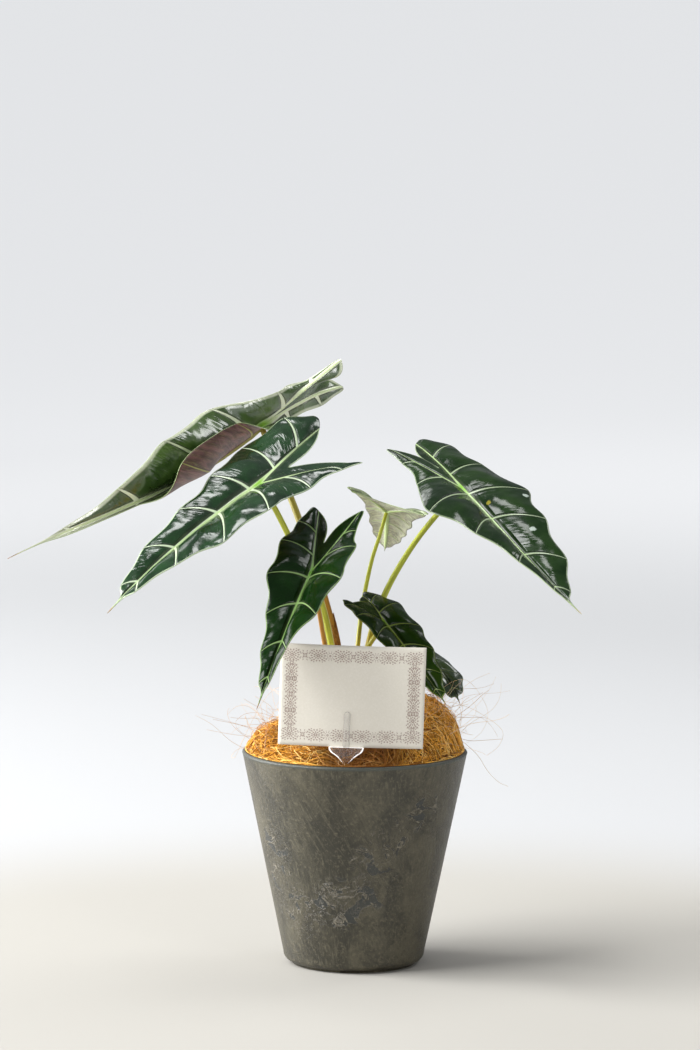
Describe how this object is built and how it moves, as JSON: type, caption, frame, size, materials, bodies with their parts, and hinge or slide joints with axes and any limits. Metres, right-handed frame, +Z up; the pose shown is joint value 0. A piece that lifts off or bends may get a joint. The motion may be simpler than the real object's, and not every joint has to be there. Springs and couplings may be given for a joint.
{
  "type": "potted african mask plant",
  "caption": "Young arrow-leaved aroid house plant with dark ribbed leaves on curved stalks, in a tapered pot topped with coconut fibre, with a blank message card on a clear pick.",
  "frame": {"origin": "centre of the pot's flat foot, on the surface the pot stands on", "axes": "+Z up through the pot's axis, -Y towards the side the card faces, +X to that viewer's right"},
  "size_m": [0.4148, 0.2864, 0.4371],
  "materials": {
    "pot_glaze": "satin slate grey with cloudy brushed mottling",
    "potting_soil": "dull crumbly potting mix",
    "coconut_fibre": "matted dry golden-brown fibre",
    "leaf": "glossy dark green with pale veins, dull purple-brown underneath",
    "young_leaf": "satin silver-green underside with a dark green top",
    "leaf_stalk": "satin yellow-green, brown towards the foot",
    "dry_husk": "dry papery brown",
    "card_stock": "uncoated off-white card with a printed border",
    "clear_plastic": "clear polished"
  },
  "bodies": {
    "root": {"pot": "pot_glaze", "soil": "potting_soil", "coir_mound": "coconut_fibre", "blade_back_left": "leaf", "stalk_back_left": "leaf_stalk", "blade_front_left": "leaf", "stalk_front_left": "leaf_stalk", "blade_front_middle": "leaf", "stalk_front_middle": "leaf_stalk", "blade_right": "leaf", "stalk_right": "leaf_stalk", "blade_back_small": "young_leaf", "stalk_back_small": "leaf_stalk", "blade_low_right": "leaf", "stalk_low_right": "leaf_stalk", "blade_low_far": "leaf", "stalk_low_far": "leaf_stalk", "dry_sheath": "dry_husk", "message_card": "card_stock", "card_pick": "clear_plastic"}
  },
  "joints": []
}
